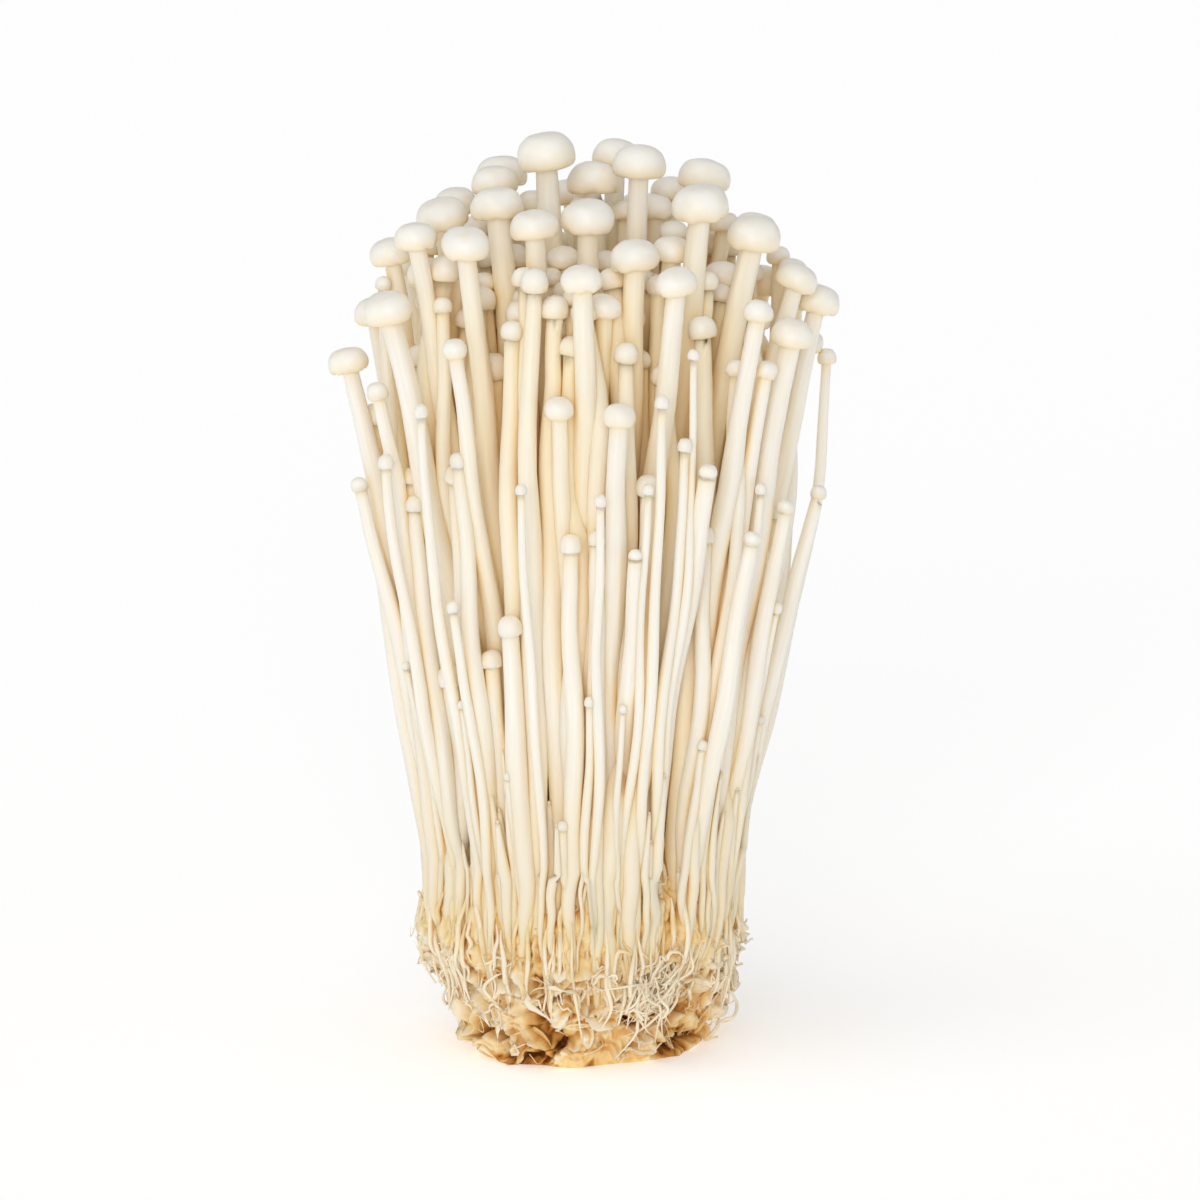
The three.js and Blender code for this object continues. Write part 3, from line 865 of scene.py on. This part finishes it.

# %% [markdown]
# ## The finish of the mycelium
#
# The block is mycelium, a felt of dead-matte threads. It is cream where it is fresh, under the stems, and
# turns straw, ochre and brown with age: in its hollows, in its torn skin and round the cut below. The
# shapes store how old and how deep each place is, in an attribute named `age`, and the colour follows that.
# On top of that, a painted shade makes it browner wherever other surfaces crowd close.

# %% Material of the mycelium
def mycelium_finish(name, stops):
    """Felt of fungal threads: matte, a little see-through, from fresh cream to old brown along `age`; painted
    shade browns its crowded folds.
    """
    material, tree, shader = soft_material(name, 0.85, 1.42, 0.15, (1.0, 0.9, 0.8), 0.8 * MM)
    do, _, _ = calculators(tree)
    place = add(tree, "ShaderNodeTexCoord").outputs["Object"]
    patches = add(tree, "ShaderNodeTexNoise", {"Vector": place, "Scale": 1 / (4 * MM), "Detail": 5.0})
    mottle_and_gap_shade = do("MULTIPLY_ADD", patches, 0.7, -0.35)
    # painted shade: browner where other surfaces crowd close, in folds and between threads
    mottle_and_gap_shade = do("MULTIPLY_ADD", attribute(tree, "crowding"), 0.4, mottle_and_gap_shade)
    threads = add(tree, "ShaderNodeTexNoise", {"Vector": place, "Scale": 1 / (0.45 * MM), "Detail": 4.0,
                                               "Distortion": 1.5})
    colour = ramp(tree, do("ADD", attribute(tree, "age"), mottle_and_gap_shade), stops)
    dress(tree, shader, colour, threads, 0.6, 0.25 * MM)
    return material


FELT_STOPS = [(0.0, "#faedd2"), (0.3, "#f3d8a0"), (0.6, "#e2b265"), (0.85, "#bd8034"), (1.0, "#7c491a")]
felt = mycelium_finish("mycelium felt", FELT_STOPS)

# %% [markdown]
# ## The block
#
# The block follows a rule: at every angle and height it reaches as far as the CAD block does, found by
# casting a ray out from the axis, plus what growing and tearing did to it. Near the stems it is a curtain
# of rounded strands with narrow grooves between them, where the stems grow together. Below, it is lumps,
# torn hollows, and thin folds that lean over. All of them are noises at their own size in millimetres,
# mixed by height. The felt reaches up between the stems, where it follows the tuft's own outline and then
# dives in behind them.

# %% The block tree
FELT_TOP = 38 * MM
LEAN_OVER = 5 * MM  # how far a fold's crest may hang over, up or down
DIVE = 5 * MM  # how far the felt draws back behind the stems at its top
HALVES = (0.5, 0.5, 0.5)  # the middle of a noise's colour


def noise(tree, place, size, detail, seed, stretch=(1.0, 1.0, 1.0)):
    """Noise with features of this size in metres, at a place. Stretch above 1 draws it out that way."""
    _, vec, _ = calculators(tree)
    scaled = vec("MULTIPLY", place, tuple(1 / (size * s) for s in stretch))
    return add(tree, "ShaderNodeTexNoise", {"Vector": scaled, "W": seed, "Scale": 1.0, "Detail": detail},
               noise_dimensions="4D")


def block_tree():
    tree, given = open_tree("mycelium block", [
        ("CAD Block", "Object", None), ("Around", "Int", 560), ("Upward", "Int", 172),
        ("Top", "Float", FELT_TOP),
        ("Width Low", "Float", 0.0), ("Width High", "Float", 0.0), ("Depth Low", "Float", 0.0),
        ("Depth High", "Float", 0.0), ("Strands", "Float", 1.3 * MM), ("Lumps", "Float", 3.2 * MM),
        ("Folds", "Float", 2.2 * MM), ("Crumples", "Float", 0.8 * MM), ("Hollows", "Float", 3.4 * MM),
        ("Seed", "Float", 3.0), ("Material", "Material", None),
    ])
    do, vec, between = calculators(tree)
    mesh, turn, row, open_row = flat_grid(tree, given["Around"], given["Upward"])
    height = between(row, 1.0, do("SUBTRACT", given["Upward"], 1.0), 0.0, given["Top"], "LINEAR")
    cosine, sine = do("COSINE", turn), do("SINE", turn)
    outward = add(tree, COMBINE, {"X": cosine, "Y": sine})

    # the CAD block's own reach, found from the axis, and above it the tuft's oval
    on_block = between(height, 0.0, BLOCK_TOP, 0.3 * MM, BLOCK_TOP - 0.3 * MM, "LINEAR")
    info = add(tree, "GeometryNodeObjectInfo", {"Object": given["CAD Block"]})
    ray = add(tree, "GeometryNodeRaycast", {
        "Target Geometry": info.outputs["Geometry"], "Ray Direction": outward, "Ray Length": 0.1,
        "Source Position": add(tree, COMBINE, {"Z": on_block}),
    })
    width = between(height, BLOCK_TOP, given["Top"], given["Width Low"], given["Width High"], "LINEAR")
    depth = between(height, BLOCK_TOP, given["Top"], given["Depth Low"], given["Depth High"], "LINEAR")
    oval = do("INVERSE_SQRT", do("ADD", do("POWER", do("DIVIDE", cosine, width), 2.0),
                                 do("POWER", do("DIVIDE", sine, depth), 2.0)))
    in_tuft = between(height, BLOCK_TOP - 2 * MM, BLOCK_TOP + 8 * MM)
    dive = between(height, given["Top"], do("SUBTRACT", given["Top"], 12 * MM), DIVE, 0.0)
    in_reach = do("SUBTRACT", oval, do("ADD", dive, 0.6 * MM))
    plain = do("ADD", do("MULTIPLY", ray.outputs["Hit Distance"], do("SUBTRACT", 1.0, in_tuft)),
               do("MULTIPLY", in_reach, in_tuft))
    place = vec("ADD", vec("SCALE", outward, Scale=plain), add(tree, COMBINE, {"Z": height}))

    # what growing and tearing did, each noise at its own size
    warp = noise(tree, place, 7 * MM, 2.0, given["Seed"])
    bent = vec("SCALE", vec("SUBTRACT", warp.outputs["Color"], HALVES), Scale=9 * MM)
    warped = vec("ADD", place, bent)
    swayed = vec("ADD", place, vec("SCALE", bent, Scale=0.3))
    strand_noise = noise(tree, swayed, 2.3 * MM, 1.0, given["Seed"], (1, 1, 8))
    thread_noise = noise(tree, swayed, 1.1 * MM, 1.0, given["Seed"], (1, 1, 7))
    fold_noise = noise(tree, warped, 4.8 * MM, 2.0, given["Seed"], (1.4, 1.4, 0.9))
    crumple_noise = noise(tree, warped, 2.4 * MM, 2.0, given["Seed"], (1.2, 1.2, 1.0))
    lump_noise = noise(tree, place, 9 * MM, 2.0, given["Seed"])
    lean_noise = noise(tree, place, 6 * MM, 1.0, do("ADD", given["Seed"], 5.0))
    patch_noise = noise(tree, place, 10 * MM, 1.0, do("ADD", given["Seed"], 9.0))
    hollow_noise = noise(tree, warped, 6.5 * MM, 2.0, given["Seed"], (1.6, 1.6, 1))

    def away_from_middle(source):
        return do("ABSOLUTE", do("SUBTRACT", source, 0.5))

    def fold(source, thickness):
        """A noise folded at its middle: 1 on the thin crest there, 0 away from it."""
        return between(away_from_middle(source), thickness, 0.0)

    def strand(source, groove):
        """The same fold turned over: rounded strands with a narrow groove between each two."""
        return do("POWER", between(away_from_middle(source), 0.0, groove, 0.0, 1.0, "LINEAR"), 0.6)

    upper = between(height, 13 * MM, 22 * MM)
    lower = between(height, 24 * MM, 15 * MM)
    patch = between(patch_noise, 0.38, 0.5)
    grounded = between(height, 0.0, 3 * MM, 0.15, 1.0)
    hollow_edge = do("ADD", hollow_noise, between(height, 15 * MM, 5 * MM, 0.0, 0.1))
    hollow = do("MULTIPLY", between(hollow_edge, 0.6, 0.7), lower)
    strands = do("ADD", strand(strand_noise, 0.14), do("MULTIPLY", strand(thread_noise, 0.16), 0.35))
    ridged = do("MULTIPLY", fold(fold_noise, 0.07), do("MULTIPLY", lower, patch))
    crumpled = do("MULTIPLY", fold(crumple_noise, 0.12), lower)
    grown = do("MULTIPLY", do("MULTIPLY", strands, upper), given["Strands"])
    grown = do("MULTIPLY_ADD", ridged, given["Folds"], grown)
    grown = do("MULTIPLY_ADD", crumpled, given["Crumples"], grown)
    grown = do("MULTIPLY_ADD", do("SUBTRACT", lump_noise, 0.5), given["Lumps"], grown)
    grown = do("SUBTRACT", grown, do("MULTIPLY_ADD", hollow, given["Hollows"], 1.3 * MM))
    grown = do("MULTIPLY", grown, grounded)

    # its place: out by that much, with the folds leaning up, down or sideways, and closed at both ends
    reach = do("MULTIPLY", do("ADD", plain, grown), open_row)
    lean = do("MULTIPLY", do("MULTIPLY", ridged, grounded), LEAN_OVER)
    sway = do("MULTIPLY", do("SUBTRACT", warp.outputs["Fac"], 0.5), do("MULTIPLY", lower, grounded))
    ragged = between(height, BLOCK_TOP, given["Top"], 0.0, 7 * MM)
    ragged = do("MULTIPLY", do("SUBTRACT", patch_noise, 0.5), ragged)
    lifted = do("MULTIPLY_ADD", do("SUBTRACT", lean_noise, 0.55), lean, height)
    lifted = do("ADD", lifted, do("MULTIPLY_ADD", sway, 6 * MM, ragged))
    lifted = do("MULTIPLY_ADD", do("SUBTRACT", do("MAXIMUM", lifted, 0.0), height), open_row, height)
    across = do("MULTIPLY", lean, do("MULTIPLY", open_row, 2.0))
    across = do("MULTIPLY", do("SUBTRACT", fold_noise, 0.5), across)
    sideways = add(tree, COMBINE, {"X": do("MULTIPLY", sine, -1.0), "Y": cosine})
    final = vec("ADD", vec("SCALE", outward, Scale=reach), add(tree, COMBINE, {"Z": lifted}))
    final = vec("ADD", final, vec("SCALE", sideways, Scale=across))

    # old where it is deep, torn or low down
    age = between(height, 22 * MM, 0.0, 0.18, 0.56, "LINEAR")
    age = do("MULTIPLY_ADD", hollow, 0.48, age)
    age = do("MULTIPLY_ADD", ridged, -0.3, age)
    age = do("MULTIPLY_ADD", crumpled, -0.22, age)
    between_strands = do("SUBTRACT", 1.0, strand(strand_noise, 0.14))
    age = do("MULTIPLY_ADD", do("MULTIPLY", between_strands, upper), 0.38, age)
    age = do("SUBTRACT", age, between(height, BLOCK_TOP + 8 * MM, given["Top"], 0.0, 0.1))

    mesh = add(tree, STORE, {"Geometry": mesh, "Name": "age", "Value": age})
    return close_tree(tree, bend(tree, mesh, final), given["Material"])


tuft_ends = {label: float(np.interp(at, levels, sizes)) for label, at, sizes in (
    ("Width Low", BLOCK_TOP, half_width), ("Width High", FELT_TOP, half_width),
    ("Depth Low", BLOCK_TOP, half_depth), ("Depth High", FELT_TOP, half_depth),
)}
block = grow("mycelium_felt", block_tree(), {
    "CAD Block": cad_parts["mycelium_block"], "Material": felt, **tuft_ends,
})
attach(block, "root")
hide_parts("mycelium_block")
print("block:", len(block.data.polygons), "faces")

# %% [markdown]
# ## Threads, curls and torn flaps of felt
#
# Pulled from its bottle, the felt tears. Its threads spring out as curls and loops, and shreds of its skin
# stand up as flaps with a pale, wavy edge. One tree makes all of them. It scatters short lines over the
# block, lays each along the surface, bends it with a noise, then lifts it off by a rule: some are loops
# with both ends rooted, some have a free end. A few knots with a smooth curve through them keep a thread
# supple. A round section makes a thread, and a thin upright one that stands on the surface makes a flap.
# Each takes the age of the felt below it.

# %% The thread tree
def thread_tree():
    tree, given = open_tree("felt threads", [
        ("Surface", "Object", None), ("Density", "Float", 2e5), ("Low", "Float", 1 * MM),
        ("High", "Float", 20 * MM), ("Focus", "Vector", (0.0, 0.0, 0.0)), ("Focus Reach", "Float", 1.0),
        ("Length", "Float", 7 * MM), ("Thickness", "Float", 0.25 * MM), ("Flatness", "Float", 1.0),
        ("Standing", "Float", 0.0), ("Ruffle", "Float", 0.0), ("Tip", "Float", 0.35),
        ("Upright", "Float", 0.3),
        ("Curl", "Float", 3 * MM), ("Curl Size", "Float", 4 * MM), ("Lift", "Float", 1 * MM),
        ("Cling", "Float", 0.7), ("Free Ends", "Float", 0.5), ("Age Shift", "Float", -0.15),
        ("Edge Age", "Float", 0.0), ("Knots", "Int", 6), ("Points", "Int", 16), ("Sides", "Int", 5),
        ("Seed", "Int", 0), ("Material", "Material", None),
    ])
    do, vec, between = calculators(tree)
    surface = add(tree, "GeometryNodeObjectInfo", {"Object": given["Surface"]}).outputs["Geometry"]
    here = add(tree, "GeometryNodeInputPosition")
    spot = add(tree, SEPARATE, {0: here}).outputs
    in_band = do("MULTIPLY", do("GREATER_THAN", spot["Z"], given["Low"]),
                 do("LESS_THAN", spot["Z"], given["High"]))
    away = vec("DISTANCE", here, given["Focus"]).outputs["Value"]
    chosen = do("MULTIPLY", in_band, do("LESS_THAN", away, given["Focus Reach"]))
    dots = add(tree, "GeometryNodeDistributePointsOnFaces", {
        "Mesh": surface, "Selection": chosen, "Density": given["Density"], "Seed": given["Seed"]})

    # each line lies along the surface, more or less upright
    scatter = add(tree, "FunctionNodeRandomValue", {
        "Min": (-1.0, -1.0, -1.0), "Max": (1.0, 1.0, 1.0), "Seed": given["Seed"]}, data_type="FLOAT_VECTOR")
    sideways = vec("CROSS_PRODUCT", dots.outputs["Normal"], scatter)
    towards = add(tree, "ShaderNodeMix", {"Factor": given["Upright"], 4: sideways, 5: (0.0, 0.0, 1.0)},
                  data_type="VECTOR").outputs[1]
    facing = add(tree, "FunctionNodeAlignRotationToVector", {"Vector": towards}, axis="Z")

    def random(low, high, seed):
        wires = {2: low, 3: high, "Seed": seed}
        return add(tree, "FunctionNodeRandomValue", wires, data_type="FLOAT").outputs[1]

    line = add(tree, "GeometryNodeCurvePrimitiveLine", {"Start": (0.0, 0.0, -0.5), "End": (0.0, 0.0, 0.5)})
    line = add(tree, "GeometryNodeResampleCurve", {"Curve": line, "Count": given["Knots"]})
    size = do("MULTIPLY", random(0.45, 1.5, given["Seed"]), given["Length"])
    dots = add(tree, "GeometryNodeInstanceOnPoints", {"Points": dots, "Instance": line, "Rotation": facing,
                                                      "Scale": size})
    dots = add(tree, STORE, {"Geometry": dots, "Name": "whim",
                             "Value": random(0.0, 1.0, do("ADD", given["Seed"], 17.0))}, domain="INSTANCE")
    lines = add(tree, "GeometryNodeRealizeInstances", {"Geometry": dots})
    whim = add(tree, NAMED, {"Name": "whim"})

    # bend it with a noise, hold it to the surface, and lift it off
    share = add(tree, "GeometryNodeSplineParameter").outputs["Factor"]
    wind = add(tree, "ShaderNodeTexNoise", {
        "Vector": here, "W": do("MULTIPLY_ADD", whim, 3.0, given["Seed"]),
        "Scale": do("DIVIDE", 1.0, given["Curl Size"]), "Detail": 0.0}, noise_dimensions="4D")
    wind = vec("SCALE", vec("SUBTRACT", wind.outputs["Color"], HALVES),
               Scale=do("MULTIPLY", given["Curl"], 2.5))
    lines = add(tree, "GeometryNodeSetPosition", {"Geometry": lines, "Offset": wind})

    def below(value, data_type):
        """A value of the block's surface at its nearest point."""
        return add(tree, "GeometryNodeSampleNearestSurface", {
            "Mesh": surface, "Value": value, "Sample Position": here}, data_type=data_type)

    age = do("ADD", below(add(tree, NAMED, {"Name": "age"}), "FLOAT"), given["Age Shift"])
    lines = add(tree, STORE, {"Geometry": lines, "Name": "age", "Value": age})
    normal = below(add(tree, "GeometryNodeInputNormal"), "FLOAT_VECTOR")
    lines = add(tree, STORE, {"Geometry": lines, "Name": "outward", "Value": normal},
                data_type="FLOAT_VECTOR")
    held = add(tree, "ShaderNodeMix", {"Factor": given["Cling"], 4: here, 5: below(here, "FLOAT_VECTOR")},
               data_type="VECTOR").outputs[1]
    arch = add(tree, "ShaderNodeMix", {
        "Factor": do("LESS_THAN", whim, given["Free Ends"]), 2: do("SINE", do("MULTIPLY", share, math.pi)),
        3: do("MULTIPLY", share, share)}, data_type="FLOAT")
    lifted = do("MULTIPLY", do("MULTIPLY", arch, do("ADD", whim, 0.2)), given["Lift"])
    place = vec("ADD", held, vec("SCALE", normal, Scale=lifted))
    lines = add(tree, "GeometryNodeSetPosition", {"Geometry": lines, "Position": place})
    lines = add(tree, "GeometryNodeCurveSplineType", {"Curve": lines}, spline_type="CATMULL_ROM")
    lines = add(tree, "GeometryNodeResampleCurve", {"Curve": lines, "Count": given["Points"]})

    # a flap stands along the surface's normal, and sways from side to side along its edge
    flutter = add(tree, "ShaderNodeTexNoise", {"Vector": here, "Scale": 1 / (1.6 * MM), "Detail": 0.0})
    flutter = vec("SCALE", vec("SUBTRACT", flutter.outputs["Color"], HALVES), Scale=given["Ruffle"])
    outward = add(tree, NAMED, {"Name": "outward"}, data_type="FLOAT_VECTOR")
    lines = add(tree, "GeometryNodeSetCurveNormal", {
        "Curve": lines, "Normal": vec("NORMALIZE", vec("ADD", outward, flutter))}, mode="FREE")

    # give it a section that tapers to its ends
    taper = between(do("ABSOLUTE", do("SUBTRACT", share, 0.5)), 0.1, 0.5, 1.0, given["Tip"])
    girth = do("MULTIPLY", do("MULTIPLY", do("MULTIPLY_ADD", whim, 0.7, 0.6), given["Thickness"]), taper)
    section = add(tree, "GeometryNodeCurvePrimitiveCircle", {"Resolution": given["Sides"], "Radius": 1.0})
    section = add(tree, STORE, {"Geometry": section.outputs["Curve"], "Name": "edge", "Value": spot["X"]})
    section = add(tree, "GeometryNodeTransform", {
        "Geometry": section, "Scale": add(tree, COMBINE, {"X": given["Flatness"], "Y": 1.0, "Z": 1.0}),
        "Translation": add(tree, COMBINE, {"X": do("MULTIPLY", given["Flatness"], given["Standing"])}),
    })
    mesh = add(tree, "GeometryNodeCurveToMesh", {"Curve": lines, "Profile Curve": section, "Scale": girth,
                                                 "Fill Caps": True})
    edge, age = add(tree, NAMED, {"Name": "edge"}), add(tree, NAMED, {"Name": "age"})
    mesh = add(tree, STORE, {"Geometry": mesh, "Name": "age",
                             "Value": do("MULTIPLY_ADD", edge, given["Edge Age"], age)})
    # nothing reaches below the surface that the bunch stands on
    on_floor = add(tree, COMBINE, {"X": spot["X"], "Y": spot["Y"], "Z": do("MAXIMUM", spot["Z"], 0.0)})
    mesh = add(tree, "GeometryNodeSetPosition", {"Geometry": mesh, "Position": on_floor})
    return close_tree(tree, mesh, given["Material"])


thread_shape = thread_tree()


# %% Threads, flaps and the white tangle
def grow_threads(name, **sizes):
    """Threads or flaps on the block. Sizes are the tree's inputs, with _ for a space."""
    values = {key.replace("_", " "): value for key, value in sizes.items()}
    piece = grow(name, thread_shape, {"Surface": block, "Material": felt, **values})
    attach(piece, "root")
    print(name, len(piece.data.polygons), "faces")
    mycelium.append(piece)


mycelium = [block]
grow_threads("foot_strands", Density=6e4, Low=14 * MM, High=40 * MM, Length=15 * MM, Thickness=0.38 * MM,
             Upright=0.97, Curl=1.0 * MM, Curl_Size=6 * MM, Lift=0.7 * MM, Cling=0.8, Seed=1, Age_Shift=-0.28)
grow_threads("block_curls", Density=2.2e4, Low=2 * MM, High=20 * MM, Length=6 * MM, Thickness=0.18 * MM,
             Upright=0.2, Curl=3.0 * MM, Curl_Size=3 * MM, Lift=1.3 * MM, Cling=0.75, Seed=2,
             Age_Shift=-0.2, Knots=8)
grow_threads("torn_flaps", Density=1.9e4, Low=0.5 * MM, High=16 * MM, Length=10 * MM, Thickness=0.13 * MM,
             Flatness=8.0, Standing=0.6, Ruffle=1.5, Tip=0.15, Upright=0.15, Curl=2.5 * MM,
             Lift=0.2 * MM, Cling=1.0,
             Seed=3, Age_Shift=0.0, Edge_Age=-0.3, Sides=8, Points=24)
grow_threads("stray_loops", Density=4e3, Low=4 * MM, High=38 * MM, Length=7 * MM, Thickness=0.28 * MM,
             Upright=0.5, Curl=3.0 * MM, Lift=2.6 * MM, Cling=0.8, Seed=4, Age_Shift=-0.3, Knots=8, Points=22)
grow_threads("white_noodles", Density=8e5, Focus=(12 * MM, -20 * MM, 12 * MM), Focus_Reach=5 * MM,
             Length=10 * MM,
             Thickness=0.22 * MM, Upright=0.0, Curl=3.5 * MM, Curl_Size=6 * MM, Lift=2.2 * MM,
             Cling=0.7, Seed=5,
             Age_Shift=-0.8, Knots=7, Points=30)

# %% [markdown]
# ## Where stems and folds crowd each other
#
# Pale flesh passes light on and tints it a little each time, so the narrow gaps between stems look golden in
# their shade, and so do the folds of the felt. The finishes paint that golden shade into their colours. To
# know where the gaps are, a ray goes straight out from every point of every piece. The sooner it meets
# another surface, the more crowded the point is. The result is blurred a little and kept in an attribute
# named
# `crowding`, the mask of that painted shade, which the finishes read.

# %% Look out from every point
SIGHT = 2.2 * MM
JUST_OFF = 0.02 * MM  # a ray starts clear of its own surface


def gap_shade_tree():
    tree, given = open_tree("crowding", [("Everyone", "Object", None), ("Sight", "Float", SIGHT)])
    do, vec, between = calculators(tree)
    everyone = add(tree, "GeometryNodeObjectInfo", {"Object": given["Everyone"]}).outputs["Geometry"]
    normal = add(tree, "GeometryNodeInputNormal")
    start = vec("ADD", add(tree, "GeometryNodeInputPosition"), vec("SCALE", normal, Scale=JUST_OFF))
    ray = add(tree, "GeometryNodeRaycast", {"Target Geometry": everyone, "Source Position": start,
                                            "Ray Direction": normal, "Ray Length": given["Sight"]}).outputs
    near = between(ray["Hit Distance"], 0.0, given["Sight"], 1.0, 0.0, "LINEAR")
    near = add(tree, "GeometryNodeBlurAttribute", {"Value": do("MULTIPLY", near, ray["Is Hit"]),
                                                   "Iterations": 3})
    # the mask of the golden painted shade that the finishes put into gaps and folds
    mesh = add(tree, STORE, {"Geometry": given["Geometry"], "Name": "crowding", "Value": near})
    mesh = add(tree, "GeometryNodeRealizeInstances", {"Geometry": mesh})
    add(tree, "NodeGroupOutput", {"Geometry": mesh})
    return tree


copies = [piece.copy() for piece in flesh + mycelium]
for copy in copies:
    copy.data = copy.data.copy()
    scene.collection.objects.link(copy)
with bpy.context.temp_override(active_object=copies[0], selected_editable_objects=copies):
    bpy.ops.object.join()
look_out = gap_shade_tree()
for piece in flesh + mycelium:
    seen = grow("seen", look_out, {"Everyone": copies[0]}, piece.data)
    piece.data = seen.data
    piece.data.name = piece.name
    bpy.data.objects.remove(seen)
bpy.data.objects.remove(copies[0])
crowding = piece.data.attributes["crowding"].data
print(piece.name, "is crowded by", round(sum(a.value for a in crowding) / len(crowding), 2), "on average")

# %% [markdown]
# ## Measuring
#
# The looks may stand a little proud of the CAD model. Both boxes are printed.

# %% Print both boxes
visual_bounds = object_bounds()
for label, bounds in (("CAD", cad_bounds), ("visual", visual_bounds)):
    print(label, "box, mm:", [[round(c / MM, 1) for c in corner] for corner in bounds])
